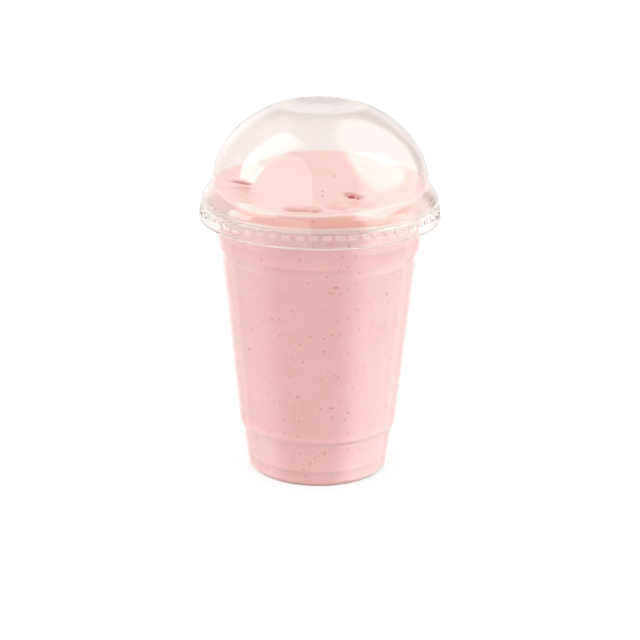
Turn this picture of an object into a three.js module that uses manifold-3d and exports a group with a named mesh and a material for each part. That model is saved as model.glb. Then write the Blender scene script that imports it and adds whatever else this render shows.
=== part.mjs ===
// A thick strawberry milkshake to go: a clear tapered cup, a clear dome lid and the shake that fills both.
// Millimetres, +Z up. The origin is the middle of the ring that the cup stands on.

import * as THREE from 'three';
import { mergeVertices } from 'three/addons/utils/BufferGeometryUtils.js';
import Module from 'manifold-3d';

// Flats round the axis, shared by every turned piece so that nested walls keep an even gap
const SEGMENTS = 56;

// Clear space left between two pieces that touch
const GAP = 0.3;

// Cup, measured on the outside of its wall
const CUP_WALL = 0.5;
const CUP_HEIGHT = 120;
const RECESS_RADIUS = 24.5;
const RECESS_DEPTH = 1.5;
const FOOT_INNER_RADIUS = 26.5;
const FOOT_RADIUS = 29.5;
const TOE_RADIUS = 30.75;
const TOE_HEIGHT = 1.65;
const HEEL_RADIUS = 31.2;
const HEEL_HEIGHT = 5.5;
const STEP_LOW_RADIUS = 32.5;
const STEP_LOW_HEIGHT = 16.4;
const STEP_FOOT_RADIUS = 32.9;
const STEP_FOOT_HEIGHT = 19.6;
const STEP_HIGH_RADIUS = 34.0;
const STEP_HIGH_HEIGHT = 21.4;
const KINK_RADIUS = 40.9;
const KINK_HEIGHT = 93.7;
const BAND_RADIUS = 42.7;
const BAND_HEIGHT = 101;
const NECK_RADIUS = 43.1;
const NECK_HEIGHT = 106;
const FLARE_RADIUS = 44.3;
const FLARE_HEIGHT = 111.7;

// Rolled rim of the cup, a round bead that the lid snaps over
const RIM_DIAMETER = 98;
const BEAD_RADIUS = 1.4;
const BEAD_STEPS = 9;
const BEAD_FROM = -130;
const BEAD_TO = 180;

// Lid, measured on the outside of its wall
const LID_WALL = 0.5;
const SKIRT_BOTTOM = 111.2;
const SKIRT_EDGE_RADIUS = 50.8;
const SKIRT_RADIUS = 51.0;
const SKIRT_WIDEST = 113.2;
const RIDGE_RADIUS = 50.2;
const RIDGE_HEIGHT = 117.6;
const RING_RADIUS = 49.8;
const RING_BOTTOM = 118.4;
const RING_TOP = 120.6;
const SHOULDER_TOP = 126.0;
const DOME_RADIUS = 45.6;
const DOME_RISE = 35.9;
const DOME_STEPS = 9;
const TRAY_RIM_RADIUS = 17.2;
const TRAY_LIP = 0.9;
const TRAY_FLOOR_RADIUS = 15.2;
const TRAY_DEPTH = 1.4;

// Snap lugs inside the skirt, which catch under the bead
const LUG_COUNT = 56;
const LUG_WIDTH = 3.9;
const LUG_BOTTOM = 114.2;
const LUG_TOP = 116.8;
const LUG_INNER_RADIUS = 48.9;
const LUG_ROOT = 0.2;

// Shake: the height of its edge on the lid's shoulder, and the rings of its top
const SHAKE_EDGE_HEIGHT = 124.8;
const TOP_RINGS = 12;
const EDGE_FADE = 0.12;

// Slow heaves of the shake's top: place, half widths along X and Y, and height
const HEAVES = [
  { x: -1, y: 40, wide: 28, deep: 19, rise: 4.4 },
  { x: -31, y: -8, wide: 17, deep: 15, rise: 1.4 },
  { x: 22, y: -16, wide: 20, deep: 14, rise: 1.6 },
  { x: 12, y: 8, wide: 16, deep: 10, rise: -0.9 },
  { x: -7.5, y: -35, wide: 6.5, deep: 4.5, rise: -1.6 },
];

// Pale pink shake and colourless plastic
const SHAKE_COLOUR = 0xf6c3bb;
const CLEAR_COLOUR = 0xf4f6f6;

const wasm = await Module();
wasm.setup();

const point = (radius, height) => new THREE.Vector2(radius, height);

// A line moved sideways, to its left, by a wall's thickness
function inset(line, distance) {
  return line.map((here, i) => {
    const before = line[Math.max(i - 1, 0)];
    const after = line[Math.min(i + 1, line.length - 1)];
    const along = after.clone().sub(before).normalize();
    return point(Math.max(here.x - along.y * distance, 0), here.y + along.x * distance);
  });
}

// Points on an arc in the radius and height plane, from one angle to another in degrees
function arc(centre, radius, from, to, steps) {
  return Array.from({ length: steps + 1 }, (_, i) => {
    const angle = THREE.MathUtils.degToRad(THREE.MathUtils.lerp(from, to, i / steps));
    return point(centre.x + radius * Math.cos(angle), centre.y + radius * Math.sin(angle));
  });
}

// A profile of radius and height turned once round the Z axis
function turned(profile) {
  const geometry = new THREE.LatheGeometry(profile, SEGMENTS);
  geometry.rotateX(Math.PI / 2);
  return geometry;
}

// Bottom and wall of the cup on the outside, from the axis up to the bead
function cupWallLine() {
  return [
    point(0, RECESS_DEPTH),
    point(RECESS_RADIUS, RECESS_DEPTH),
    point(FOOT_INNER_RADIUS, 0),
    point(FOOT_RADIUS, 0),
    point(TOE_RADIUS, TOE_HEIGHT),
    point(HEEL_RADIUS, HEEL_HEIGHT),
    point(STEP_LOW_RADIUS, STEP_LOW_HEIGHT),
    point(STEP_FOOT_RADIUS, STEP_FOOT_HEIGHT),
    point(STEP_HIGH_RADIUS, STEP_HIGH_HEIGHT),
    point(KINK_RADIUS, KINK_HEIGHT),
    point(BAND_RADIUS, BAND_HEIGHT),
    point(NECK_RADIUS, NECK_HEIGHT),
    point(FLARE_RADIUS, FLARE_HEIGHT),
  ];
}

const beadCentre = point(RIM_DIAMETER / 2 - BEAD_RADIUS, CUP_HEIGHT - BEAD_RADIUS);

// The clear cup: an even wall with a solid round bead at the rim
function cupGeometry() {
  const outside = cupWallLine();
  const bead = arc(beadCentre, BEAD_RADIUS, BEAD_FROM, BEAD_TO, BEAD_STEPS);
  const inside = inset(outside, CUP_WALL).reverse();
  return turned([...outside, ...bead, ...inside]);
}

// Skirt, ring, shoulder, dome and tray of the lid on the outside, from the skirt's edge to the axis
function lidLine() {
  const trayAngle = Math.acos(TRAY_RIM_RADIUS / DOME_RADIUS);
  const dome = Array.from({ length: DOME_STEPS + 1 }, (_, i) => {
    const angle = (trayAngle * i) / DOME_STEPS;
    return point(DOME_RADIUS * Math.cos(angle), SHOULDER_TOP + DOME_RISE * Math.sin(angle));
  });
  return [
    point(SKIRT_EDGE_RADIUS, SKIRT_BOTTOM),
    point(SKIRT_RADIUS, SKIRT_WIDEST),
    point(RIDGE_RADIUS, RIDGE_HEIGHT),
    point(RING_RADIUS, RING_BOTTOM),
    point(RING_RADIUS, RING_TOP),
    ...dome,
    point(TRAY_RIM_RADIUS - TRAY_LIP, dome.at(-1).y),
    point(TRAY_FLOOR_RADIUS, dome.at(-1).y - TRAY_DEPTH),
    point(0, dome.at(-1).y - TRAY_DEPTH),
  ];
}

// A closed mesh as a solid that can be joined and cut
function solidOf(geometry) {
  const bare = geometry.clone();
  bare.deleteAttribute('normal');
  bare.deleteAttribute('uv');
  const merged = mergeVertices(bare);
  const corners = merged.index.array;
  const kept = [];
  for (let i = 0; i < corners.length; i += 3) {
    const [a, b, c] = corners.slice(i, i + 3);
    if (a !== b && b !== c && c !== a) {
      kept.push(a, b, c);
    }
  }
  const mesh = new wasm.Mesh({
    numProp: 3,
    vertProperties: new Float32Array(merged.attributes.position.array),
    triVerts: new Uint32Array(kept),
  });
  return new wasm.Manifold(mesh);
}

// A solid turned back into a mesh's geometry
function geometryOf(solid) {
  const mesh = solid.getMesh();
  const geometry = new THREE.BufferGeometry();
  geometry.setAttribute('position', new THREE.BufferAttribute(mesh.vertProperties, 3));
  geometry.setIndex(new THREE.BufferAttribute(mesh.triVerts, 1));
  geometry.computeVertexNormals();
  return geometry;
}

// One snap lug at a turn round the axis, leaning with the skirt and rooted inside its wall
function lugGeometry(turn) {
  const height = LUG_TOP - LUG_BOTTOM;
  const middle = (LUG_TOP + LUG_BOTTOM) / 2;
  const up = (middle - SKIRT_WIDEST) / (RIDGE_HEIGHT - SKIRT_WIDEST);
  const lean = Math.atan2(SKIRT_RADIUS - RIDGE_RADIUS, RIDGE_HEIGHT - SKIRT_WIDEST);
  const wall = THREE.MathUtils.lerp(SKIRT_RADIUS, RIDGE_RADIUS, up) * Math.cos(Math.PI / SEGMENTS);
  const root = wall - LID_WALL + LUG_ROOT;
  const geometry = new THREE.BoxGeometry(root - LUG_INNER_RADIUS, LUG_WIDTH, height);
  geometry.rotateY(-lean);
  geometry.translate((root + LUG_INNER_RADIUS) / 2, 0, middle);
  geometry.rotateZ(turn);
  return geometry;
}

// The clear lid: an even wall with the ring of lugs joined on
function lidGeometry() {
  const outside = lidLine();
  const inside = inset(outside, LID_WALL).reverse();
  let lid = solidOf(turned([...outside, ...inside, outside[0]]));
  for (let i = 0; i < LUG_COUNT; i += 1) {
    const turn = (2 * Math.PI * (i + 0.5)) / LUG_COUNT;
    lid = lid.add(solidOf(lugGeometry(turn)));
  }
  return geometryOf(lid);
}

// Height of the heaves over the level edge, faded out where the shake meets the lid
function heaveAt(x, y, edgeRadius) {
  const inward = 1 - Math.hypot(x, y) / edgeRadius;
  const fade = THREE.MathUtils.smoothstep(inward, 0, EDGE_FADE);
  let rise = 0;
  for (const heave of HEAVES) {
    const across = (x - heave.x) / heave.wide;
    const along = (y - heave.y) / heave.deep;
    rise += heave.rise * Math.exp(-(across ** 4) - along ** 2);
  }
  return rise * fade;
}

// The shake: the inside of the cup less the gap, on up from the rim to the lid, with a gently heaving top
function shakeGeometry() {
  const side = inset(cupWallLine(), CUP_WALL + GAP);
  const atRim = point(beadCentre.x - BEAD_RADIUS - GAP, beadCentre.y);
  const slope = (DOME_RADIUS - RING_RADIUS) / (SHOULDER_TOP - RING_TOP);
  const clear = (LID_WALL + GAP) * Math.hypot(1, slope);
  const onShoulder = RING_RADIUS + slope * (SHAKE_EDGE_HEIGHT - RING_TOP);
  const edge = point(onShoulder - clear, SHAKE_EDGE_HEIGHT);
  const top = Array.from({ length: TOP_RINGS }, (_, i) => {
    return point(edge.x * (1 - (i + 1) / TOP_RINGS), SHAKE_EDGE_HEIGHT);
  });
  const geometry = turned([...side, atRim, edge, ...top]);
  const places = geometry.attributes.position;
  const belowTop = (atRim.y + SHAKE_EDGE_HEIGHT) / 2;
  for (let i = 0; i < places.count; i += 1) {
    if (places.getZ(i) > belowTop) {
      places.setZ(i, SHAKE_EDGE_HEIGHT + heaveAt(places.getX(i), places.getY(i), edge.x));
    }
  }
  geometry.computeVertexNormals();
  return geometry;
}

// A named piece with a finish of its own
function piece(name, geometry, finish) {
  const mesh = new THREE.Mesh(geometry, new THREE.MeshStandardMaterial(finish));
  mesh.name = name;
  return mesh;
}

const clearPlastic = { color: CLEAR_COLOUR, roughness: 0.08, metalness: 0, transparent: true, opacity: 0.35 };

const milkshakeToGo = new THREE.Group();
milkshakeToGo.add(
  piece('cup', cupGeometry(), clearPlastic),
  piece('lid', lidGeometry(), clearPlastic),
  piece('milkshake', shakeGeometry(), { color: SHAKE_COLOUR, roughness: 0.55, metalness: 0 }),
);

export default milkshakeToGo;
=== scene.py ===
# %% [markdown]
# A thick strawberry milkshake to go: a clear formed cup, a clear dome lid pressed over its rim, and
# the pale pink shake that fills both. The solid model gives the sizes and stays as the fixed frame. This
# script dresses it: each solid is replaced by a finer piece of the same form with a finish of its own.

# %% Load the frame
import math

import bmesh
import bpy
from mathutils import Matrix, Vector, noise


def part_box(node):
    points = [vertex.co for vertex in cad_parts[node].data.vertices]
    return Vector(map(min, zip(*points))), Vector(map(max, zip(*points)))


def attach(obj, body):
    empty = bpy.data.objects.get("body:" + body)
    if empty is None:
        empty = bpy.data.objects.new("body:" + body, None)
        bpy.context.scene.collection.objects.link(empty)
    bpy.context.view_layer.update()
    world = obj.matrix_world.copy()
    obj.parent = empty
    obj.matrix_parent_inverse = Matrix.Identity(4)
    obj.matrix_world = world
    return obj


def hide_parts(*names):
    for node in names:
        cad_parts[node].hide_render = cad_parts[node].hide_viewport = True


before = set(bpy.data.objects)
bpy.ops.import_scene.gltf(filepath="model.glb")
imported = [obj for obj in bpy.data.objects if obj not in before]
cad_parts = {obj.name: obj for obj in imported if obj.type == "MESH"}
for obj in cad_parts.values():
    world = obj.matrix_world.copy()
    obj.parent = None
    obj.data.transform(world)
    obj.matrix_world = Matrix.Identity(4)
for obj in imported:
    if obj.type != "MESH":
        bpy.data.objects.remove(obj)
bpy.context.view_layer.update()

BODY = "root"
print("frame nodes:", sorted(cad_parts))

# %% [markdown]
# Cup and lid are thin sheet that was drawn over a mould, so each is one line of radius and height, turned
# round the axis. A line with sharp corners would look cut from card. Real forming leaves small radii, so a
# helper rounds every corner, a second one cuts long stretches into short steps, a third moves the line
# sideways by the sheet's thickness, and a last one turns the closed line into a mesh.

# %% Lines of radius and height, in millimetres
MM = 0.001
CORNER_STEPS = 5


def rounded(corners):
    """Points of a line whose corners, given as radius, height and fillet, are rounded."""
    line = []
    for i, (r, z, fillet) in enumerate(corners):
        here = Vector((r, z))
        if fillet == 0 or i in (0, len(corners) - 1):
            line.append(here)
            continue
        back = (Vector(corners[i - 1][:2]) - here).normalized()
        ahead = (Vector(corners[i + 1][:2]) - here).normalized()
        half = back.angle(ahead) / 2
        reach = fillet / math.tan(half)
        start, end = here + back * reach, here + ahead * reach
        for step in range(CORNER_STEPS + 1):
            t = step / CORNER_STEPS
            line.append(start.lerp(here, t).lerp(here.lerp(end, t), t))
    return line


def stepped(line, longest):
    """The line with points added so that no stretch is longer than that."""
    full = [line[0]]
    for a, b in zip(line, line[1:]):
        count = max(1, math.ceil((b - a).length / longest))
        full += [a.lerp(b, i / count) for i in range(1, count + 1)]
    return full


def aside(line, distance):
    """The line moved to its left, which is inwards for a wall that runs upwards."""
    moved = []
    for i, here in enumerate(line):
        along = (line[min(i + 1, len(line) - 1)] - line[max(i - 1, 0)]).normalized()
        moved.append(Vector((max(here.x - along.y * distance, 0.0), here.y + along.x * distance)))
    return moved


def arc(centre, radius, start, end, steps):
    """Points on an arc between two angles in degrees."""
    angles = [math.radians(start + (end - start) * i / steps) for i in range(steps + 1)]
    return [centre + radius * Vector((math.cos(a), math.sin(a))) for a in angles]


def smooth(value, low, high):
    """Zero at low, one at high and a soft step between."""
    t = min(max((value - low) / (high - low), 0.0), 1.0)
    return t * t * (3 - 2 * t)


def turned(name, line, segments, lift=None):
    """An object from a line turned round Z. lift(turn, row) may give a point a new radius and height."""
    on_axis = 1e-6
    points, rings = [], []
    for row, p in enumerate(line):
        count = 1 if p.x < on_axis else segments
        rings.append(range(len(points), len(points) + count))
        for j in range(count):
            turn = 2 * math.pi * j / segments
            r, z = lift(turn, row) if lift else p
            points.append((r * math.cos(turn) * MM, r * math.sin(turn) * MM, z * MM))
    faces = []
    for low, high in zip(rings, rings[1:]):
        for j in range(segments):
            k = (j + 1) % segments
            corners = [low[j % len(low)], low[k % len(low)], high[k % len(high)], high[j % len(high)]]
            faces.append(list(dict.fromkeys(corners)))
    mesh = bpy.data.meshes.new(name)
    mesh.from_pydata(points, [], faces)
    mesh.shade_smooth()
    piece = bpy.data.objects.new(name, mesh)
    bpy.context.scene.collection.objects.link(piece)
    return piece


corner = rounded([(0, 0, 0), (5, 0, 1), (5, 5, 0)])
print("a rounded corner takes", len(corner) - 2, "points")

# %% [markdown]
# The photograph looks down on the cup from a little above, through a long lens. The camera's distance,
# height and lens were worked out from how round the rim and the foot look. The picture leans a touch
# clockwise, so the camera is rolled the other way.

# %% Camera
CAMERA_PLACE = Vector((0.0, -0.850, 0.360))
CAMERA_AIM = Vector((0.0005, 0.0, 0.0648))
CAMERA_LENS_MM = 117.8
CAMERA_SENSOR_MM = 36.0
CAMERA_ROLL = 0.0105

camera_data = bpy.data.cameras.new("camera")
camera_data.lens = CAMERA_LENS_MM
camera_data.sensor_width = CAMERA_SENSOR_MM
camera_data.sensor_fit = "HORIZONTAL"
camera = bpy.data.objects.new("camera", camera_data)
bpy.context.scene.collection.objects.link(camera)
looking = (CAMERA_AIM - CAMERA_PLACE).to_track_quat("-Z", "Y").to_matrix()
rolled = looking @ Matrix.Rotation(CAMERA_ROLL, 3, "Z")
camera.matrix_world = Matrix.Translation(CAMERA_PLACE) @ rolled.to_4x4()
bpy.context.scene.camera = camera
print("camera looks from", [round(v, 3) for v in CAMERA_PLACE])

# %% [markdown]
# Node trees are built by one small function that adds a node, sets it up and links it. Colours are written
# as they look on a screen, in sRGB hex, and turned into the linear values that shaders count in.

# %% Nodes and colours


def add(tree, kind, settings=None, inputs=None):
    """A new node. inputs holds plain values, or another node's output socket to link."""
    node = tree.nodes.new(kind)
    for key, value in (settings or {}).items():
        setattr(node, key, value)
    for key, value in (inputs or {}).items():
        if isinstance(value, bpy.types.NodeSocket):
            tree.links.new(value, node.inputs[key])
        else:
            node.inputs[key].default_value = value
    return node


def linear(hex_colour):
    """Linear red, green, blue and alpha of a colour written as rrggbb."""
    parts = [int(hex_colour[i:i + 2], 16) / 255 for i in (0, 2, 4)]
    return [c / 12.92 if c <= 0.04045 else ((c + 0.055) / 1.055) ** 2.4 for c in parts] + [1.0]


def per_mm(size):
    """Scale of a pattern on Object coordinates whose marks are about that many millimetres wide."""
    return 1.0 / (size * MM)


def new_material(name):
    """An empty material and its tree."""
    material = bpy.data.materials.new(name)
    material.use_nodes = True
    material.node_tree.nodes.clear()
    return material, material.node_tree


print("the grey 808080 is", round(linear("808080")[0], 3), "in linear light")

# %% [markdown]
# The object stands on white in soft light from above. Clear plastic shows by what it mirrors, so the sky
# does three jobs, told apart by the kind of ray that asks. To the eye and through the plastic it is plain
# white. As a light it is a soft glow, brightest overhead. In mirrors it is a dim studio with a pale
# backdrop, a lit table and a few big panels with soft edges. One panel is a dark flag, which takes light
# away. Lamps could make the same pictures, but would also light the shake from those sides.

# %% What the plastic mirrors
ROOM_MIRRORED = 0.14
BACKDROP_MIRRORED = 0.7
TABLE_MIRRORED = 0.3

# Where backdrop and table begin and are full, as the part of a direction that points back, or up
BACKDROP_BACK = (0.6, 0.97)
BACKDROP_UP = (0.52, 0.2)
TABLE_UP = (-0.6, -0.9)

# Panels: corners as degrees to the right of the camera and degrees up, soft edge, brightness
PANELS = {
    "left_strip": ([(-76, 12), (-71, 78), (-136, 60), (-98, 11)], 0.1, 1.4),
    "left_strip_foot": ([(-77, 12), (-75, 35), (-108, 33), (-98, 11)], 0.1, 1.5),
    "right_wall": ([(40, -22), (48, 47), (95, 80), (166, 52), (128, -4)], 0.2, 1.15),
    "front_left": (
        [(-79, -20), (-80, 35), (-76, 60), (-40, 64), (-13, 49), (-8, 18), (-8, -20)], 0.03, 0.9),
    "front_left_foot": ([(-66, -20), (-66, -15.5), (-8, -15.5), (-8, -20)], 0.03, 1.1),
    "right_glow": ([(62, 7), (46, 44), (56, 64), (92, 54), (108, 14), (98, 5)], 0.25, 1.75),
    "right_flag": ([(131, -6), (129, 24), (147, 24), (149, -6)], 0.06, -0.25),
    "left_back": ([(-92, -2), (-92, 60), (-150, 62), (-165, -2)], 0.4, 0.5),
    "right_low": ([(48, -16), (125, -16), (122, -50), (36, -48)], 0.75, 3.6),
    "left_low": ([(-60, -16), (-126, -16), (-120, -50), (-62, -50)], 0.75, 1.95),
    "right_edge": ([(118, -16), (165, -16), (165, -60), (118, -60)], 0.15, 0.7),
    "left_edge": ([(-120, -16), (-165, -16), (-165, -60), (-120, -60)], 0.15, 0.55),
    "backdrop_low": ([(125, -10), (-125, -10), (-125, -70), (125, -70)], 0.3, 0.3),
}


def towards(azimuth, elevation):
    """Direction to a place in the studio."""
    a, e = math.radians(azimuth), math.radians(elevation)
    return Vector((math.sin(a) * math.cos(e), -math.cos(a) * math.cos(e), math.sin(e)))


def panel_glow(tree, direction, corners, soft, brightness):
    """Brightness that one panel gives to rays of a direction: full inside all its edges."""
    places = [towards(*corner) for corner in corners]
    middle = sum(places, Vector((0, 0, 0)))
    glow = brightness
    for a, b in zip(places, places[1:] + places[:1]):
        edge = a.cross(b).normalized()
        edge = edge if edge.dot(middle) > 0 else -edge
        inside = add(tree, "ShaderNodeVectorMath", {"operation": "DOT_PRODUCT"}, {0: direction, 1: edge})
        step = add(tree, "ShaderNodeMapRange", {"interpolation_type": "SMOOTHSTEP"}, {
            "Value": inside.outputs["Value"], "From Min": -soft / 2, "From Max": soft / 2})
        glow = add(tree, "ShaderNodeMath", {"operation": "MULTIPLY"}, {
            0: glow, 1: step.outputs[0]}).outputs[0]
    return glow


def mirrored_studio(tree, direction):
    """Brightness of the whole studio in mirrors."""
    along = add(tree, "ShaderNodeSeparateXYZ", None, {0: direction}).outputs
    behind = add(tree, "ShaderNodeMapRange", {"interpolation_type": "SMOOTHSTEP"}, {
        "Value": along["Y"], "From Min": BACKDROP_BACK[0], "From Max": BACKDROP_BACK[1],
        "To Max": BACKDROP_MIRRORED})
    low = add(tree, "ShaderNodeMapRange", {"interpolation_type": "SMOOTHSTEP"}, {
        "Value": along["Z"], "From Min": BACKDROP_UP[0], "From Max": BACKDROP_UP[1]})
    below = add(tree, "ShaderNodeMapRange", {"interpolation_type": "SMOOTHSTEP"}, {
        "Value": along["Z"], "From Min": TABLE_UP[0], "From Max": TABLE_UP[1],
        "To Min": ROOM_MIRRORED, "To Max": ROOM_MIRRORED + TABLE_MIRRORED})
    glow = add(tree, "ShaderNodeMath", {"operation": "MULTIPLY_ADD"}, {
        0: behind.outputs[0], 1: low.outputs[0], 2: below.outputs[0]}).outputs[0]
    for corners, soft, brightness in PANELS.values():
        panel = panel_glow(tree, direction, corners, soft, brightness)
        glow = add(tree, "ShaderNodeMath", {"operation": "ADD"}, {0: glow, 1: panel}).outputs[0]
    return glow


print("studio of", len(PANELS), "panels")

# %% Sky and floor
SKY_SEEN = 1.05
LIGHT_ALL_ROUND = 0.6
LIGHT_ABOVE = 1.16
FLOOR_WIDE = 6.0
FLOOR_DROP = 0.0002
FLOOR_GLOW = 0.72
MOST_BOUNCES = 24
MOST_MIRRORINGS = 12


def make_sky():
    """White to look at, a soft light from above, and a studio in mirrors."""
    world = bpy.data.worlds.new("white_set")
    world.use_nodes = True
    tree = world.node_tree
    tree.nodes.clear()
    direction = add(tree, "ShaderNodeTexCoord").outputs["Generated"]
    height = add(tree, "ShaderNodeSeparateXYZ", None, {0: direction}).outputs["Z"]
    light = add(tree, "ShaderNodeMapRange", None, {
        "Value": height, "To Min": LIGHT_ALL_ROUND, "To Max": LIGHT_ALL_ROUND + LIGHT_ABOVE})
    path = add(tree, "ShaderNodeLightPath").outputs
    looking = add(tree, "ShaderNodeMath", {"operation": "MAXIMUM"}, {
        0: path["Is Camera Ray"], 1: path["Is Transmission Ray"]})
    seen = add(tree, "ShaderNodeMix", None, {0: looking.outputs[0], 2: light.outputs[0], 3: SKY_SEEN})
    # A ray that was mirrored once inside the sheet and came out again also sees the studio
    once = add(tree, "ShaderNodeMath", {"operation": "COMPARE"}, {0: path["Glossy Depth"], 1: 1.0, 2: 0.5})
    out_again = add(tree, "ShaderNodeMath", {"operation": "MINIMUM"}, {
        0: path["Is Transmission Ray"], 1: once.outputs[0]})
    mirrored = add(tree, "ShaderNodeMath", {"operation": "MAXIMUM"}, {
        0: path["Is Glossy Ray"], 1: out_again.outputs[0]})
    white_set = add(tree, "ShaderNodeBackground", None, {
        "Color": (1, 1, 1, 1), "Strength": seen.outputs[0]})
    studio = add(tree, "ShaderNodeBackground", None, {
        "Color": (1, 1, 1, 1), "Strength": mirrored_studio(tree, direction)})
    sky = add(tree, "ShaderNodeMixShader", None, {
        0: mirrored.outputs[0], 1: white_set.outputs[0], 2: studio.outputs[0]})
    add(tree, "ShaderNodeOutputWorld", None, {"Surface": sky.outputs[0]})
    bpy.context.scene.world = world


def make_floor():
    """A wide matt white floor that also glows a little, as a lit table does."""
    half = FLOOR_WIDE / 2
    mesh = bpy.data.meshes.new("floor")
    corners = [(-half, -half), (half, -half), (half, half), (-half, half)]
    mesh.from_pydata([(x, y, -FLOOR_DROP) for x, y in corners], [], [(0, 1, 2, 3)])
    material, tree = new_material("matt_white_table")
    shader = add(tree, "ShaderNodeBsdfPrincipled", None, {
        "Base Color": linear("8f8f8f"), "Roughness": 0.9, "Specular IOR Level": 0.0,
        "Emission Color": (1, 1, 1, 1), "Emission Strength": FLOOR_GLOW})
    add(tree, "ShaderNodeOutputMaterial", None, {"Surface": shader.outputs[0]})
    mesh.materials.append(material)
    floor = bpy.data.objects.new("floor", mesh)
    floor.visible_glossy = False
    bpy.context.scene.collection.objects.link(floor)


make_sky()
make_floor()
scene = bpy.context.scene
scene.view_settings.view_transform = "Standard"
scene.cycles.max_bounces = MOST_BOUNCES
scene.cycles.transmission_bounces = MOST_BOUNCES
scene.cycles.glossy_bounces = MOST_MIRRORINGS
print("sky, and a floor", FLOOR_WIDE, "m wide")

# %% [markdown]
# Cup and lid are PET, a clear polyester sheet formed hot over a mould. It gives the eye sharp mirror
# images, a slight grey where two walls overlap, and faint waves where the sheet cooled unevenly. A glass
# shader bends light as PET does. An attribute on the mesh paints highlights into the sheet in milky white:
# along the rolled rim, at the skirt's cut edge, faintly over the lower skirt, on the grip lugs and in a
# ring round the tray. Rays that light the shake go straight through, because bent light inside a cup takes
# far more samples to come out clean.

# %% Clear PET
PET_IOR = 1.575
SHEET_WAVE_MM = 11.0
SHEET_HAZE_MM = 5.0
CUP_WAVE = 0.06
LID_WAVE = 0.05


def make_clear_pet(name, tint, wave):
    """Formed clear sheet with its own tint and depth of waves, and milky white where the mesh paints a
    highlight.
    """
    material, tree = new_material(name)
    place = add(tree, "ShaderNodeTexCoord").outputs["Object"]
    waves = add(tree, "ShaderNodeTexNoise", None, {
        "Vector": place, "Scale": per_mm(SHEET_WAVE_MM), "Detail": 1.0})
    haze = add(tree, "ShaderNodeTexNoise", None, {
        "Vector": place, "Scale": per_mm(SHEET_HAZE_MM), "Detail": 2.0})
    rough = add(tree, "ShaderNodeMapRange", None, {
        "Value": haze.outputs[0], "From Min": 0.3, "From Max": 0.7, "To Min": 0.015, "To Max": 0.05})
    bump = add(tree, "ShaderNodeBump", None, {
        "Strength": wave, "Distance": 0.4 * MM, "Height": waves.outputs[0]})
    clear = add(tree, "ShaderNodeBsdfPrincipled", None, {
        "Base Color": linear(tint), "Roughness": rough.outputs[0], "IOR": PET_IOR,
        "Transmission Weight": 1.0, "Normal": bump.outputs[0]})
    # Painted highlight: where the mesh says so, the clear sheet gives way to milky white
    painted_highlight = add(tree, "ShaderNodeAttribute", {"attribute_name": "painted_highlight"}).outputs["Fac"]
    white = add(tree, "ShaderNodeBsdfDiffuse", None, {"Color": linear("f8e8e0")})
    sheet = add(tree, "ShaderNodeMixShader", None, {0: painted_highlight, 1: clear.outputs[0], 2: white.outputs[0]})
    straight = add(tree, "ShaderNodeBsdfTransparent", None, {"Color": linear("fafafa")})
    path = add(tree, "ShaderNodeLightPath")
    lighting = add(tree, "ShaderNodeMath", {"operation": "MAXIMUM"}, {
        0: path.outputs["Is Shadow Ray"], 1: path.outputs["Is Diffuse Ray"]})
    both = add(tree, "ShaderNodeMixShader", None, {
        0: lighting.outputs[0], 1: sheet.outputs[0], 2: straight.outputs[0]})
    add(tree, "ShaderNodeOutputMaterial", None, {"Surface": both.outputs[0]})
    return material


cup_pet = make_clear_pet("clear_pet_cup", "fcfbfa", CUP_WAVE)
lid_pet = make_clear_pet("clear_pet_lid", "f9f5f3", LID_WAVE)
print("clear PET for cup and lid")

# %% [markdown]
# The cup's sheet starts under the middle of the base, runs out to a narrow foot ring, up the heel, over a
# step that keeps stacked cups from jamming, up the long tapered wall to a soft kink and a band, and ends
# in a rolled rim. The roll is the same sheet bent over outwards, so the line simply goes on round it.

# %% Cup


def mark(piece, name, values):
    """Stores one number for every point of a piece, for its material to read."""
    piece.data.attributes.new(name, "FLOAT", "POINT").data.foreach_set("value", values)


CUP_SHEET = 0.5
ROLL_RADIUS = 0.9
RIM_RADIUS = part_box("cup")[1][0] / MM
CUP_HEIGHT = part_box("cup")[1][2] / MM
ROLL_CENTRE = Vector((RIM_RADIUS - ROLL_RADIUS - CUP_SHEET, CUP_HEIGHT - ROLL_RADIUS - CUP_SHEET))
CUP_SEGMENTS = 192
# Share of painted highlight, in milky white, along the top of the rolled rim
ROLL_PAINTED_HIGHLIGHT = 0.24
ROLL_FADE = (CUP_HEIGHT - 2.8, CUP_HEIGHT - 1.6)
LONGEST_STEP = 3.0
ROLL_STARTS = 180
ROLL_ENDS = -100
ROLL_STEPS = 16

# Radius, height and fillet of each corner of the sheet's outer side, from the base up
CUP_CORNERS = [
    (0.0, 1.5, 0.0),
    (24.5, 1.5, 1.2),
    (26.2, 0.0, 0.6),
    (29.5, 0.0, 0.5),
    (30.6, 1.9, 0.8),
    (31.2, 6.4, 0.6),
    (32.5, 16.4, 0.9),
    (32.8, 19.6, 1.0),
    (34.3, 21.4, 1.2),
    (41.8, 96.5, 4.0),
    (42.9, 100.5, 0.5),
    (43.3, 106.0, 3.0),
    (44.3, 111.7, 6.0),
    (ROLL_CENTRE.x - ROLL_RADIUS, ROLL_CENTRE.y - 1.2, 1.5),
    (ROLL_CENTRE.x - ROLL_RADIUS, ROLL_CENTRE.y, 0.0),
]
cup_wall = stepped(rounded(CUP_CORNERS), LONGEST_STEP)
roll = arc(ROLL_CENTRE, ROLL_RADIUS, ROLL_STARTS, ROLL_ENDS, ROLL_STEPS)
cup_sheet = cup_wall + roll[1:]
cup = turned("cup_shell", cup_sheet + aside(cup_sheet, CUP_SHEET)[::-1], CUP_SEGMENTS)
cup.data.materials.append(cup_pet)
# A painted highlight in milky white along the rolled rim
mark(cup, "painted_highlight", [ROLL_PAINTED_HIGHLIGHT * smooth(v.co.z / MM, *ROLL_FADE) for v in cup.data.vertices])
print("cup:", len(cup.data.polygons), "faces,", round(CUP_HEIGHT, 1), "mm tall")

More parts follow.
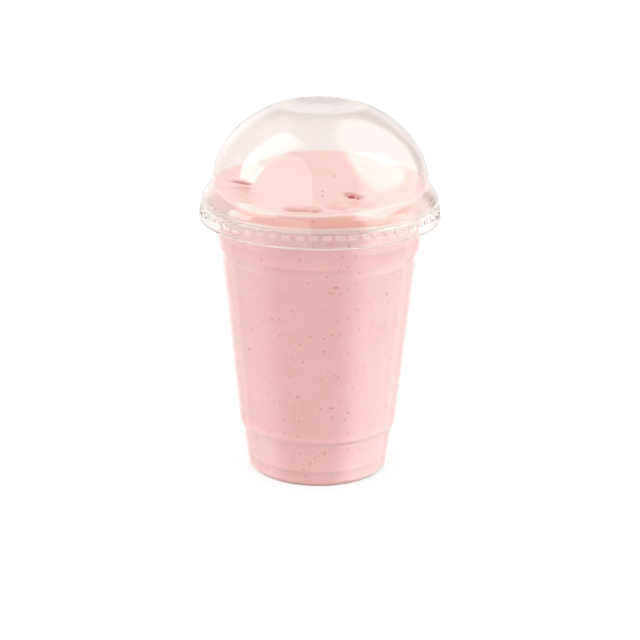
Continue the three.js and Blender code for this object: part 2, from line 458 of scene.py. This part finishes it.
# %% [markdown]
# The lid's skirt grips the rolled rim from below with a ring of small dents, the grip lugs. Above them a
# ridge and a narrow ring hold the rim, a sloping shoulder leads in, and a dome rises to a shallow round
# tray in its top. The lugs repeat by a rule, so Geometry Nodes press them into the finished sheet: every
# point in the lugs' band moves towards the axis by an amount that depends on its angle and its height
# alone. Both faces of the sheet move together, so the wall keeps its thickness.

# %% Lid sheet
LID_SHEET = 0.42
DOME_RADIUS = 45.6
DOME_RISE = 35.9
DOME_STARTS = 3.0
DOME_STEPS = 22
SHOULDER_RADIUS = 49.8
SHOULDER_BOTTOM = 120.7
SHOULDER_TOP = 126.0
SHOULDER_MIDDLE = Vector((48.5, 123.1))
TRAY_RIM_RADIUS = 17.2
TRAY_FLOOR_RADIUS = 6.5
TRAY_DEPTH = 1.0
TRAY_RIM_FILLET = 11.0
TRAY_FLOOR_FILLET = 30.0
LUGS = 56
LUG_STEPS = 9
LUG_BOTTOM = 115.3
LUG_TOP = 117.6
LUG_ROWS = 12
LUG_DEPTH = 0.5
LUG_EDGE = 0.45
LUG_SIDES = (0.12, 0.21)
SKIRT_RADIUS = 50.9
SKIRT_LEAN = 0.16
SKIRT_LEAN_FROM = 113.5
# Shares of painted highlight in milky white: the skirt's lower edge, the lower skirt, a ring round the
# tray, the lugs
EDGE_PAINTED_HIGHLIGHT = 0.34
SKIRT_PAINTED_HIGHLIGHT = 0.05
TRAY_PAINTED_HIGHLIGHT = 0.1
TRAY_EDGE_WIDE = 1.3
LUG_PAINTED_HIGHLIGHT = 0.14
EDGE_FADE = (112.9, 112.3)
SKIRT_FADE = (118.4, 117.8)
TRAY_FADE = (SHOULDER_TOP, SHOULDER_TOP + 20.0)

lug_heights = [LUG_BOTTOM + (LUG_TOP - LUG_BOTTOM) * i / (LUG_ROWS - 1) for i in range(LUG_ROWS)]
lug_band = [(SKIRT_RADIUS - SKIRT_LEAN * (z - SKIRT_LEAN_FROM), z, 0.0) for z in lug_heights]
# Radius, height and fillet of each corner of the sheet's outer side, from the skirt's edge up
LID_CORNERS = [
    (50.75, 111.7, 0.0),
    (51.0, 112.2, 0.2),
    (50.85, 112.8, 0.25),
    (SKIRT_RADIUS, SKIRT_LEAN_FROM, 0.5),
    *lug_band,
    (50.2, 117.9, 0.5),
    (49.8, 119.1, 0.5),
    (SHOULDER_RADIUS, SHOULDER_BOTTOM, 1.6),
    (*SHOULDER_MIDDLE, 5.0),
    (DOME_RADIUS, SHOULDER_TOP, 1.2),
    (DOME_RADIUS, SHOULDER_TOP + 1.0, 0.0),
]
tray_angle = math.degrees(math.acos(TRAY_RIM_RADIUS / DOME_RADIUS))
dome = [Vector((DOME_RADIUS * p.x, SHOULDER_TOP + DOME_RISE * p.y))
        for p in arc(Vector((0, 0)), 1.0, DOME_STARTS, tray_angle, DOME_STEPS)]
tray = rounded([
    (*dome[-3], 0.0),
    (*dome[-1], TRAY_RIM_FILLET),
    (TRAY_FLOOR_RADIUS, dome[-1].y - TRAY_DEPTH, TRAY_FLOOR_FILLET),
    (0.0, dome[-1].y - TRAY_DEPTH, 0.0),
])
lid_wall = rounded(LID_CORNERS) + dome[:-2] + tray[1:]
lid = turned("dome_lid", aside(lid_wall, LID_SHEET)[::-1] + lid_wall, LUGS * LUG_STEPS)
places = [(v.co.z / MM, math.hypot(v.co.x, v.co.y) / MM) for v in lid.data.vertices]
# A painted highlight in milky white at the skirt's lower edge, faintly over the lower skirt, and in a ring
# round the tray's rim
mark(lid, "painted_highlight", [
    EDGE_PAINTED_HIGHLIGHT * smooth(z, *EDGE_FADE) + SKIRT_PAINTED_HIGHLIGHT * smooth(z, *SKIRT_FADE)
    + TRAY_PAINTED_HIGHLIGHT * smooth(z, *TRAY_FADE)
    * math.exp(-((r - TRAY_RIM_RADIUS) / TRAY_EDGE_WIDE) ** 2) for z, r in places])
print("lid sheet:", len(lid.data.polygons), "faces")

# %% Helpers for Geometry Nodes


def tree_input(tree, name, kind, value=None):
    """A named input on a node tree."""
    socket = tree.interface.new_socket(name, in_out="INPUT", socket_type=kind)
    if value is not None:
        socket.default_value = value


def with_tree(piece, tree, values):
    """Runs a node tree on a piece, its inputs given by name, and keeps the result as a plain mesh."""
    modifier = piece.modifiers.new(tree.name, "NODES")
    modifier.node_group = tree
    for socket in tree.interface.items_tree:
        if socket.in_out == "INPUT" and socket.name in values:
            modifier[socket.identifier] = values[socket.name]
    ready = piece.evaluated_get(bpy.context.evaluated_depsgraph_get())
    mesh = bpy.data.meshes.new_from_object(ready)
    piece.modifiers.clear()
    piece.data = mesh
    mesh.shade_smooth()


# %% Grip lugs pressed into the lid


def grip_lug_tree():
    """Presses a ring of dents into a turned sheet, paints a milky highlight on them, then sets its
    material.
    """
    tree = bpy.data.node_groups.new("grip_lugs", "GeometryNodeTree")
    tree_input(tree, "Sheet", "NodeSocketGeometry")
    tree_input(tree, "Count", "NodeSocketInt", LUGS)
    tree_input(tree, "Depth", "NodeSocketFloat", LUG_DEPTH * MM)
    tree_input(tree, "Painted Highlight", "NodeSocketFloat", LUG_PAINTED_HIGHLIGHT)
    tree_input(tree, "Bottom", "NodeSocketFloat", LUG_BOTTOM * MM)
    tree_input(tree, "Top", "NodeSocketFloat", LUG_TOP * MM)
    tree_input(tree, "Edge", "NodeSocketFloat", LUG_EDGE * MM)
    tree_input(tree, "Finish", "NodeSocketMaterial")
    tree.interface.new_socket("Sheet", in_out="OUTPUT", socket_type="NodeSocketGeometry")
    given = add(tree, "NodeGroupInput").outputs
    place = add(tree, "GeometryNodeInputPosition").outputs[0]
    xyz = add(tree, "ShaderNodeSeparateXYZ", None, {0: place}).outputs
    angle = add(tree, "ShaderNodeMath", {"operation": "ARCTAN2"}, {0: xyz["Y"], 1: xyz["X"]})
    turns = add(tree, "ShaderNodeMath", {"operation": "MULTIPLY"}, {
        0: angle.outputs[0], 1: 1 / (2 * math.pi)})
    steps = add(tree, "ShaderNodeMath", {"operation": "MULTIPLY"}, {0: turns.outputs[0], 1: given["Count"]})
    swing = add(tree, "ShaderNodeMath", {"operation": "PINGPONG"}, {0: steps.outputs[0], 1: 0.5})
    across = add(tree, "ShaderNodeMapRange", {"interpolation_type": "SMOOTHSTEP"}, {
        "Value": swing.outputs[0], "From Min": LUG_SIDES[0], "From Max": LUG_SIDES[1]})
    low_end = add(tree, "ShaderNodeMath", {"operation": "ADD"}, {0: given["Bottom"], 1: given["Edge"]})
    high_end = add(tree, "ShaderNodeMath", {"operation": "SUBTRACT"}, {0: given["Top"], 1: given["Edge"]})
    above = add(tree, "ShaderNodeMapRange", {"interpolation_type": "SMOOTHSTEP"}, {
        "Value": xyz["Z"], "From Min": given["Bottom"], "From Max": low_end.outputs[0]})
    below = add(tree, "ShaderNodeMapRange", {"interpolation_type": "SMOOTHSTEP"}, {
        "Value": xyz["Z"], "From Min": given["Top"], "From Max": high_end.outputs[0]})
    band = add(tree, "ShaderNodeMath", {"operation": "MULTIPLY"}, {
        0: above.outputs[0], 1: below.outputs[0]})
    press = add(tree, "ShaderNodeMath", {"operation": "MULTIPLY"}, {
        0: band.outputs[0], 1: across.outputs[0]})
    depth = add(tree, "ShaderNodeMath", {"operation": "MULTIPLY"}, {0: press.outputs[0], 1: given["Depth"]})
    flat = add(tree, "ShaderNodeCombineXYZ", None, {"X": xyz["X"], "Y": xyz["Y"]})
    outward = add(tree, "ShaderNodeVectorMath", {"operation": "NORMALIZE"}, {0: flat.outputs[0]})
    inward = add(tree, "ShaderNodeMath", {"operation": "MULTIPLY"}, {0: depth.outputs[0], 1: -1.0})
    move = add(tree, "ShaderNodeVectorMath", {"operation": "SCALE"}, {
        0: outward.outputs[0], "Scale": inward.outputs[0]})
    pressed = add(tree, "GeometryNodeSetPosition", None, {
        "Geometry": given["Sheet"], "Offset": move.outputs[0]})
    before = add(tree, "GeometryNodeInputNamedAttribute", {"data_type": "FLOAT"}, {"Name": "painted_highlight"})
    # Painted highlight: the pressed lugs turn milky white, on top of what the sheet already has
    pale = add(tree, "ShaderNodeMath", {"operation": "MULTIPLY"}, {0: press.outputs[0], 1: given["Painted Highlight"]})
    both = add(tree, "ShaderNodeMath", {"operation": "ADD"}, {0: before.outputs[0], 1: pale.outputs[0]})
    marked = add(tree, "GeometryNodeStoreNamedAttribute", {"data_type": "FLOAT", "domain": "POINT"}, {
        "Geometry": pressed.outputs[0], "Name": "painted_highlight", "Value": both.outputs[0]})
    real = add(tree, "GeometryNodeRealizeInstances", None, {0: marked.outputs[0]})
    painted = add(tree, "GeometryNodeSetMaterial", None, {
        "Geometry": real.outputs[0], "Material": given["Finish"]})
    add(tree, "NodeGroupOutput", None, {0: painted.outputs[0]})
    return tree


with_tree(lid, grip_lug_tree(), {"Finish": lid_pet})
print("lid with", LUGS, "lugs:", len(lid.data.polygons), "faces")

# %% [markdown]
# Thick strawberry shake is a dense foam of milk, ice and fruit. Light enters it, spreads a few millimetres
# and comes out pink, so it needs subsurface scattering and only a soft sheen. Against the plastic it is
# pressed smooth and a little deeper in colour. Its free top is paler, with fine bubbles. Folds in the top
# are painted a deep red, a painted shade in the creases. A thin pale line is painted where the top meets
# the lid, fainter on the far side. The rise between rim and lid is painted brighter, to make up for the
# shade under the lid, and oranger, as light bounced in the gap makes it; its left and right ends are
# painted pale, a painted reflection. Attributes on the mesh say where. At each ring of the cup the bent
# sheet makes the shake behind it look lighter above the ring and darker just below, so a ramp over the
# height paints that highlight and shade, and also paints a shade at the foot where the cup meets the floor.

# %% Shades of the shake
# Spacing of each pattern's marks. Grain and bubbles are drawn coarser than in real foam, so that they show
SHAKE_MOTTLE_MM = 12.0
SHAKE_GRAIN_MM = 1.6
BUBBLE_MM = 2.6
PULP_MM = 4.0
SHADE_TOP_MM = 130.0

SHAKE_COLOURS = {
    "pressed": "e7b4b1", "pressed_pale": "e9bab7", "side": "ffbfb2",
    "free_top": "f5cfca", "painted_fold_shade": "bd5a52", "pale_edge_and_painted_reflection": "ffe4de",
    "grain": "f8d8d2", "foam": "fae0da", "pulp": "d28680",
}

# Painted highlight and shade of the shake through the cup, as factors by height in millimetres: a painted
# shade at the foot where the cup meets the floor, then lighter and darker bands at the heel, step and kink
PAINTED_RING_SHADES = [
    (0.0, 0.62), (0.8, 0.68), (1.5, 0.98), (2.4, 1.07), (4.0, 1.03), (5.4, 1.0), (6.3, 0.92), (6.9, 0.93),
    (7.4, 1.10), (8.5, 1.08), (11.0, 1.05), (18.5, 1.03), (19.4, 1.0), (20.4, 0.97), (21.4, 0.98),
    (22.2, 1.09), (23.5, 1.07), (26.0, 1.03), (30.0, 1.02), (97.0, 1.0), (98.6, 0.97), (99.8, 0.91),
    (100.4, 0.99), (101.0, 1.06), (103.0, 1.05), (104.5, 1.01), (SHADE_TOP_MM, 1.0),
]


def blended(tree, share, under, over):
    """One colour laid over another by a share."""
    return add(tree, "ShaderNodeMix", {"data_type": "RGBA"}, {0: share, 6: under, 7: over}).outputs[2]


def painted_ring_shade(tree, place):
    """The colour's factor of painted highlight and shade at a height, by straight steps between the listed
    shades.
    """
    height = add(tree, "ShaderNodeSeparateXYZ", None, {0: place}).outputs["Z"]
    share = add(tree, "ShaderNodeMath", {"operation": "DIVIDE"}, {0: height, 1: SHADE_TOP_MM * MM})
    ramp = add(tree, "ShaderNodeValToRGB", None, {0: share.outputs[0]})
    stops = ramp.color_ramp.elements
    while len(stops) < len(PAINTED_RING_SHADES):
        stops.new(1.0)
    for stop, (z, shade) in zip(stops, PAINTED_RING_SHADES):
        stop.position = z / SHADE_TOP_MM
        stop.color = [shade / 2] * 3 + [1.0]
    return add(tree, "ShaderNodeMath", {"operation": "MULTIPLY"}, {0: ramp.outputs[0], 1: 2.0}).outputs[0]


print("shake:", len(SHAKE_COLOURS), "colours and", len(PAINTED_RING_SHADES), "shades by height")

# %% Blended shake


def make_shake():
    """Pale pink foam, deeper against plastic, with painted shade, light, highlight and reflection where
    marked.
    """
    material, tree = new_material("blended_strawberry_shake")
    tone = {name: linear(colour) for name, colour in SHAKE_COLOURS.items()}
    place = add(tree, "ShaderNodeTexCoord").outputs["Object"]
    marks = {name: add(tree, "ShaderNodeAttribute", {"attribute_name": name}).outputs["Fac"]
             for name in ("free", "shade_in_folds", "pale_edge_and_painted_reflection", "side")}
    mottle = add(tree, "ShaderNodeTexNoise", None, {
        "Vector": place, "Scale": per_mm(SHAKE_MOTTLE_MM), "Detail": 3.0})
    grain = add(tree, "ShaderNodeTexNoise", None, {
        "Vector": place, "Scale": per_mm(SHAKE_GRAIN_MM), "Detail": 3.0})
    bubbles = add(tree, "ShaderNodeTexVoronoi", None, {
        "Vector": place, "Scale": per_mm(BUBBLE_MM), "Randomness": 1.0})
    pulp = add(tree, "ShaderNodeTexVoronoi", None, {
        "Vector": place, "Scale": per_mm(PULP_MM), "Randomness": 1.0})
    grained = add(tree, "ShaderNodeMapRange", None, {
        "Value": grain.outputs[0], "From Min": 0.58, "From Max": 0.78, "To Min": 0.0, "To Max": 0.3})
    dot = add(tree, "ShaderNodeMapRange", None, {
        "Value": bubbles.outputs["Distance"], "From Min": 0.06, "From Max": 0.13,
        "To Min": 0.4, "To Max": 0.0})
    spot = add(tree, "ShaderNodeMapRange", {"interpolation_type": "SMOOTHSTEP"}, {
        "Value": pulp.outputs["Distance"], "From Min": 0.06, "From Max": 0.19,
        "To Min": 0.7, "To Max": 0.0})
    patchy = add(tree, "ShaderNodeMapRange", None, {
        "Value": mottle.outputs[0], "From Min": 0.35, "From Max": 0.65})
    body = blended(tree, patchy.outputs[0], tone["pressed"], tone["pressed_pale"])
    # Painted highlight and shade by height, at the cup's rings and its foot
    ring_shaded = add(tree, "ShaderNodeVectorMath", {"operation": "SCALE"}, {
        0: body, "Scale": painted_ring_shade(tree, place)}).outputs[0]
    # Painted light: the rise between rim and lid is brighter and oranger than the pressed shake
    side_painted_light = blended(tree, marks["side"], ring_shaded, tone["side"])
    top = blended(tree, marks["free"], side_painted_light, tone["free_top"])
    # Painted shade: marked folds are darkened to a deep red
    fold_shaded = blended(tree, marks["shade_in_folds"], top, tone["painted_fold_shade"])
    # A pale line along the edge, and a painted reflection at the ends of the rise
    edge_paled = blended(tree, marks["pale_edge_and_painted_reflection"], fold_shaded, tone["pale_edge_and_painted_reflection"])
    fine = blended(tree, grained.outputs[0], edge_paled, tone["grain"])
    foamy = blended(tree, dot.outputs[0], fine, tone["foam"])
    pressed = add(tree, "ShaderNodeMath", {"operation": "SUBTRACT"}, {0: 1.0, 1: marks["free"]})
    pulpy = add(tree, "ShaderNodeMath", {"operation": "MULTIPLY"}, {
        0: spot.outputs[0], 1: pressed.outputs[0]})
    colour = blended(tree, pulpy.outputs[0], foamy, tone["pulp"])
    rough = add(tree, "ShaderNodeMapRange", None, {
        "Value": grain.outputs[0], "To Min": 0.42, "To Max": 0.62})
    height = add(tree, "ShaderNodeMath", {"operation": "MULTIPLY"}, {0: grain.outputs[0], 1: marks["free"]})
    bump = add(tree, "ShaderNodeBump", None, {
        "Strength": 0.35, "Distance": 0.35 * MM, "Height": height.outputs[0]})
    shader = add(tree, "ShaderNodeBsdfPrincipled", None, {
        "Base Color": colour, "Roughness": rough.outputs[0], "IOR": 1.36,
        "Subsurface Weight": 0.3, "Subsurface Radius": (1.0, 0.45, 0.35), "Subsurface Scale": 2.0 * MM,
        "Normal": bump.outputs[0]})
    add(tree, "ShaderNodeOutputMaterial", None, {"Surface": shader.outputs[0]})
    return material


shake_finish = make_shake()
print("shake finish ready")

# %% [markdown]
# The shake fills the cup and stands up out of the rim as far as the lid's shoulder, which it just touches.
# Its side is the cup's own line moved almost through the sheet, so it reaches just into the wall and no air
# gap shows. Its top is a height worked out for every point: slow heaves from the pour, folds and dents, and
# an edge that wanders up and down the lid. A sculpted top would look as good, but a formula can be read and
# changed.

# %% Shape of the shake's top
EDGE_HEIGHT = 124.7
REACH = 0.18

# Slow heaves: place, half widths along X and Y, rise
HEAVES = [
    (-1.0, 40.0, 28.0, 19.0, 4.4),
    (-31.0, -8.0, 17.0, 15.0, 1.4),
    (22.0, -16.0, 20.0, 14.0, 1.6),
    (12.0, 8.0, 16.0, 10.0, -0.9),
    (-7.5, -35.0, 6.5, 4.5, -2.0),
]
# Folds: start, end, half width, depth, share of painted shade
FOLDS = [
    ((-36.0, 2.8), (-29.6, -1.9), 1.6, 2.6, 1.0),
    ((12.0, -17.5), (15.5, -21.5), 2.2, 1.4, 0.45),
    ((-10.0, -33.0), (-3.5, -35.5), 3.4, 1.4, 0.6),
    ((4.8, -32.0), (9.3, -35.5), 2.4, 0.9, 0.2),
    ((-7.0, 20.0), (3.0, 18.0), 2.6, 0.7, 0.06),
    ((-34.5, -9.0), (-29.5, -10.0), 1.7, 0.5, 0.25),
    ((-33.0, -17.5), (-28.6, -18.0), 1.6, 0.45, 0.2),
    ((-31.5, -26.5), (-28.0, -27.0), 1.8, 0.45, 0.22),
    ((15.0, -30.0), (19.5, -31.0), 3.0, 0.4, 0.2),
    ((-33.0, -12.0), (-29.0, -26.0), 4.5, 0.3, 0.13),
    ((18.0, 26.0), (31.0, 18.0), 2.6, 0.6, 0.03),
    ((-26.0, 22.0), (-12.0, 27.0), 2.4, 0.5, 0.03),
]
FOLD_SWAY = 1.5
FOLD_SWAY_LONG = 3.5
RIPPLE = 0.5
RIPPLE_LONG = 9.0
# How far the painted shade reaches across a fold
FOLD_SHADE_EDGE = 0.8
# How far in from the edge heaves and ripples are full, as a share of the radius
HEAVES_FULL = 0.12
RIPPLES_FULL = 0.06
# Rises and dips of the edge: degrees round from the camera's side, rise, half width in degrees
EDGE_WAVES = [
    (-150, -0.6, 16), (-112, 0.5, 14), (-68, 1.1, 13), (-30, -0.6, 14), (14, 0.4, 9), (31, -1.5, 9),
    (52, 0.4, 9), (72, 1.2, 12), (96, -0.4, 10), (128, 0.6, 14), (172, 0.5, 16),
]


def fold_at(x, y):
    """Depth and painted shade of the folds at a point, each a short soft groove with uneven sides."""
    deep, fold_shaded = 0.0, 0.0
    sway = [noise.noise(Vector((x / FOLD_SWAY_LONG, y / FOLD_SWAY_LONG, level))) for level in (5.0, 9.0)]
    p = Vector((x + FOLD_SWAY * sway[0], y + FOLD_SWAY * sway[1]))
    for start, end, half, depth, painted_fold_shade in FOLDS:
        a, b = Vector(start), Vector(end)
        t = (p - a).dot(b - a) / (b - a).length_squared
        near = a.lerp(b, min(max(t, 0.0), 1.0))
        off = (p - near).length / half
        deep += depth * math.exp(-off ** 2)
        fold_shaded = max(fold_shaded, painted_fold_shade * math.exp(-(FOLD_SHADE_EDGE * off) ** 4))
    return deep, fold_shaded


def edge_wave(turn):
    """How far the shake's edge on the lid rises or dips at an angle round the axis."""
    rise = 0.0
    for place, height, half in EDGE_WAVES:
        off = (math.degrees(turn) + 90.0 - place + 180.0) % 360.0 - 180.0
        rise += height * math.exp(-(off / half) ** 2)
    return rise


def top_lift(x, y, inward):
    """Height of the free top over the level of its edge."""
    rise = 0.0
    for hx, hy, wide, deep, height in HEAVES:
        rise += height * math.exp(-((x - hx) / wide) ** 4 - ((y - hy) / deep) ** 2)
    ripple = RIPPLE * noise.fractal(Vector((x / RIPPLE_LONG, y / RIPPLE_LONG, 3.0)), 0.9, 2.1, 4)
    small = ripple - fold_at(x, y)[0]
    return rise * smooth(inward, 0.0, HEAVES_FULL) + small * smooth(inward, 0.0, RIPPLES_FULL)


print("shake's top:", len(HEAVES), "heaves,", len(FOLDS), "folds,", len(EDGE_WAVES), "waves of the edge")

# %% Shake
SHAKE_SEGMENTS = 360
TOP_RINGS = 84
# A pale line along the top's edge, fainter on the far side, and a painted reflection at the left and right
# ends of the rise under the lid
PALE_EDGE_WIDE = 1.2
PALE_EDGE_COVER = 0.8
PAINTED_REFLECTION_SIDES = 0.8
SIDES_FADE = (0.62, 0.95)
WANDER_FADE = (0.75, 1.0)
FAR_FADE = (-0.1, 0.5)
FAR_LESS = 0.8
SIDE_FADE = (CUP_HEIGHT - 3.0, CUP_HEIGHT)
EDGE_RINGS = 8


def lid_inside(z):
    """Radius at which the shake reaches just into the lid's sheet."""
    if z > SHOULDER_TOP:
        return DOME_RADIUS * math.sqrt(1 - ((z - SHOULDER_TOP) / DOME_RISE) ** 2) - LID_SHEET + REACH
    low, high = Vector((SHOULDER_RADIUS, SHOULDER_BOTTOM)), SHOULDER_MIDDLE
    if z > SHOULDER_MIDDLE.y:
        low, high = SHOULDER_MIDDLE, Vector((DOME_RADIUS, SHOULDER_TOP))
    slope = (high.x - low.x) / (high.y - low.y)
    return low.x + slope * (z - low.y) - (LID_SHEET - REACH) * math.hypot(1.0, slope)


def make_shake_body():
    """The shake as one closed body, with its free top and the places of its painted shade, light and
    reflection marked.
    """
    side = aside(cup_wall, CUP_SHEET - REACH)
    line = side + [side[-1]] * EDGE_RINGS
    first_rise, first_top = len(side), len(line)
    line += [Vector((1 - i / TOP_RINGS, 0.0)) for i in range(1, TOP_RINGS + 1)]
    marks = {"free": [], "shade_in_folds": [], "pale_edge_and_painted_reflection": [], "side": []}

    def lift(turn, row):
        p = line[row]
        edge = EDGE_HEIGHT + edge_wave(turn)
        r, z, free, shade_in_folds, from_edge = p.x, p.y, 0.0, 0.0, edge - p.y
        if first_rise <= row < first_top:
            up = (row - first_rise + 1) / EDGE_RINGS
            r, z = p.x + (lid_inside(edge) - p.x) * up, p.y + (edge - p.y) * up
            from_edge = edge - z
        elif row >= first_top:
            r = lid_inside(edge) * p.x
            x, y = r * math.cos(turn), r * math.sin(turn)
            wander = edge_wave(turn) * smooth(p.x, *WANDER_FADE)
            z = EDGE_HEIGHT + wander + top_lift(x, y, 1.0 - p.x)
            free, shade_in_folds = 1.0, fold_at(x, y)[1]
            from_edge = (1.0 - p.x) * lid_inside(edge)
        marks["free"].append(free)
        marks["shade_in_folds"].append(shade_in_folds)
        # The rise between rim and lid, which takes a painted light
        on_side = smooth(z, *SIDE_FADE) * (1.0 - free)
        near = 1.0 - FAR_LESS * smooth(math.sin(turn), *FAR_FADE)
        contact = PALE_EDGE_COVER * near * math.exp(-(from_edge / PALE_EDGE_WIDE) ** 2)
        # Painted reflection: the rise is paler at its left and right ends
        painted_side_reflection = PAINTED_REFLECTION_SIDES * smooth(abs(math.cos(turn)), *SIDES_FADE) * on_side
        marks["pale_edge_and_painted_reflection"].append(max(contact, painted_side_reflection))
        marks["side"].append(on_side)
        return r, z

    body = turned("milkshake_body", line, SHAKE_SEGMENTS, lift)
    for name, values in marks.items():
        mark(body, name, values)
    body.data.materials.append(shake_finish)
    return body


shake = make_shake_body()
print("shake:", len(shake.data.polygons), "faces")

# %% [markdown]
# Crushed strawberry leaves specks of skin and seed all through the shake, and a few lumps of flesh in its
# top. Skin gives the eye small soft red specks, seeds give fewer brown ones, and flesh a wet red lump. All
# are true-size shapes on the surface, so that they also show in the exported mesh. Geometry Nodes scatter
# the specks with a fixed seed, turn each one to lie flat and vary its size. The lumps have places of their
# own.

# %% Wet fruit
# Wider than a fleck, so that the colour changes from one fleck to the next
FLECK_PATCH_MM = 7.0


def make_fleck(name, dark, light):
    """Wet fruit, with darker and lighter patches."""
    material, tree = new_material(name)
    place = add(tree, "ShaderNodeTexCoord").outputs["Object"]
    patches = add(tree, "ShaderNodeTexNoise", None, {
        "Vector": place, "Scale": per_mm(FLECK_PATCH_MM), "Detail": 2.0})
    spread = add(tree, "ShaderNodeMapRange", None, {
        "Value": patches.outputs[0], "From Min": 0.35, "From Max": 0.65})
    colour = blended(tree, spread.outputs[0], linear(dark), linear(light))
    shader = add(tree, "ShaderNodeBsdfPrincipled", None, {
        "Base Color": colour, "Roughness": 0.45, "IOR": 1.4})
    add(tree, "ShaderNodeOutputMaterial", None, {"Surface": shader.outputs[0]})
    return material


# %% Fruit flecks
FREE_FEWER = 0.75
SMALL_OFTEN = 1.8
FLAKE_NARROW = 0.6
FLAKE_THICK = 0.07


def fleck_tree():
    """Scatters flat flakes over a surface."""
    tree = bpy.data.node_groups.new("flecks", "GeometryNodeTree")
    tree_input(tree, "Surface", "NodeSocketGeometry")
    tree_input(tree, "Per Square Metre", "NodeSocketFloat", 3000.0)
    tree_input(tree, "Seed", "NodeSocketInt", 1)
    tree_input(tree, "Smallest", "NodeSocketFloat", 0.2 * MM)
    tree_input(tree, "Largest", "NodeSocketFloat", 0.6 * MM)
    tree_input(tree, "Finish", "NodeSocketMaterial")
    tree.interface.new_socket("Flecks", in_out="OUTPUT", socket_type="NodeSocketGeometry")
    given = add(tree, "NodeGroupInput").outputs
    free = add(tree, "GeometryNodeInputNamedAttribute", {"data_type": "FLOAT"}, {"Name": "free"})
    share = add(tree, "ShaderNodeMath", {"operation": "MULTIPLY_ADD"}, {
        0: free.outputs[0], 1: -FREE_FEWER, 2: 1.0})
    density = add(tree, "ShaderNodeMath", {"operation": "MULTIPLY"}, {
        0: share.outputs[0], 1: given["Per Square Metre"]})
    spots = add(tree, "GeometryNodeDistributePointsOnFaces", None, {
        "Mesh": given["Surface"], "Density": density.outputs[0], "Seed": given["Seed"]})
    flake = add(tree, "GeometryNodeMeshIcoSphere", None, {"Radius": 1.0, "Subdivisions": 2})
    spin = add(tree, "FunctionNodeRandomValue", {"data_type": "FLOAT"}, {
        "Max": 2 * math.pi, "Seed": given["Seed"]})
    spin_z = add(tree, "ShaderNodeCombineXYZ", None, {"Z": spin.outputs[1]})
    turn = add(tree, "FunctionNodeRotateRotation", {"rotation_space": "LOCAL"}, {
        0: spots.outputs["Rotation"], 1: spin_z.outputs[0]})
    draw = add(tree, "FunctionNodeRandomValue", {"data_type": "FLOAT"}, {"Seed": given["Seed"]})
    rare = add(tree, "ShaderNodeMath", {"operation": "POWER"}, {0: draw.outputs[1], 1: SMALL_OFTEN})
    size = add(tree, "ShaderNodeMapRange", None, {
        "Value": rare.outputs[0], "To Min": given["Smallest"], "To Max": given["Largest"]})
    narrow = add(tree, "ShaderNodeMath", {"operation": "MULTIPLY"}, {0: size.outputs[0], 1: FLAKE_NARROW})
    scale = add(tree, "ShaderNodeCombineXYZ", None, {
        "X": size.outputs[0], "Y": narrow.outputs[0], "Z": FLAKE_THICK * MM})
    laid = add(tree, "GeometryNodeInstanceOnPoints", None, {
        "Points": spots.outputs["Points"], "Instance": flake.outputs["Mesh"],
        "Rotation": turn.outputs[0], "Scale": scale.outputs[0]})
    real = add(tree, "GeometryNodeRealizeInstances", None, {0: laid.outputs[0]})
    painted = add(tree, "GeometryNodeSetMaterial", None, {
        "Geometry": real.outputs[0], "Material": given["Finish"]})
    add(tree, "NodeGroupOutput", None, {0: painted.outputs[0]})
    return tree


def scatter(name, tree, values):
    """A piece of flakes scattered over a copy of the shake's surface."""
    piece = bpy.data.objects.new(name, shake.data.copy())
    bpy.context.scene.collection.objects.link(piece)
    with_tree(piece, tree, values)
    print(name + ":", len(piece.data.polygons), "faces")
    return piece


# %% Fruit bits and both kinds of fleck
# Bits on the free top: place, half length, half width, turn in degrees
FRUIT_BITS = [(12.9, -20.0, 1.4, 1.0, -20), (15.5, -22.4, 0.8, 0.45, -40), (-2.4, -36.6, 0.8, 0.6, 20),
              (1.0, -12.2, 0.4, 0.3, 0), (1.0, -18.8, 0.4, 0.3, 60)]
BIT_SHOWS = 0.4
BIT_UNEVEN = 0.3
BIT_LUMPS = 1.7


def make_fruit_bits():
    """Lumps of fruit half sunk in the top, each a small uneven ball."""
    mesh = bpy.data.meshes.new("fruit_bits")
    shape = bmesh.new()
    for x, y, long, wide, turn in FRUIT_BITS:
        z = EDGE_HEIGHT + top_lift(x, y, 1.0 - math.hypot(x, y) / lid_inside(EDGE_HEIGHT))
        ball = bmesh.ops.create_icosphere(shape, subdivisions=3, radius=1.0)
        middle = Vector((x, y, z + BIT_SHOWS * wide)) * MM
        place = Matrix.Translation(middle) @ Matrix.Rotation(math.radians(turn), 4, "Z")
        for corner in ball["verts"]:
            uneven = 1.0 + BIT_UNEVEN * noise.noise(corner.co * BIT_LUMPS + Vector((x, y, 0)))
            corner.co = place @ (corner.co * uneven * Vector((long, wide, wide)) * MM)
    shape.to_mesh(mesh)
    shape.free()
    mesh.shade_smooth()
    mesh.materials.append(make_fleck("strawberry_flesh", "c45854", "da8680"))
    bits = bpy.data.objects.new("fruit_bits", mesh)
    bpy.context.scene.collection.objects.link(bits)
    return bits


bits = make_fruit_bits()
print("fruit bits:", len(bits.data.polygons), "faces")
flecks = fleck_tree()
fruit = scatter("fruit_flecks", flecks, {
    "Per Square Metre": 5000.0, "Seed": 7, "Smallest": 0.4 * MM, "Largest": 0.95 * MM,
    "Finish": make_fleck("strawberry_skin", "d28a85", "e2a6a1")})
seeds = scatter("dark_flecks", flecks, {
    "Per Square Metre": 800.0, "Seed": 21, "Smallest": 0.2 * MM, "Largest": 0.5 * MM,
    "Finish": make_fleck("strawberry_seed", "85524a", "a8746a")})

# %% [markdown]
# Every piece moves with the one rigid body, and each of the three main pieces hides the solid it stands
# for.

# %% Pieces on the body
STANDS_FOR = [(cup, "cup", "cup_plastic"), (lid, "lid", "lid_plastic"), (shake, "milkshake", "shake")]
for piece, node, slot in STANDS_FOR:
    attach(piece, BODY)
    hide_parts(node)
for piece in (bits, fruit, seeds):
    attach(piece, BODY)
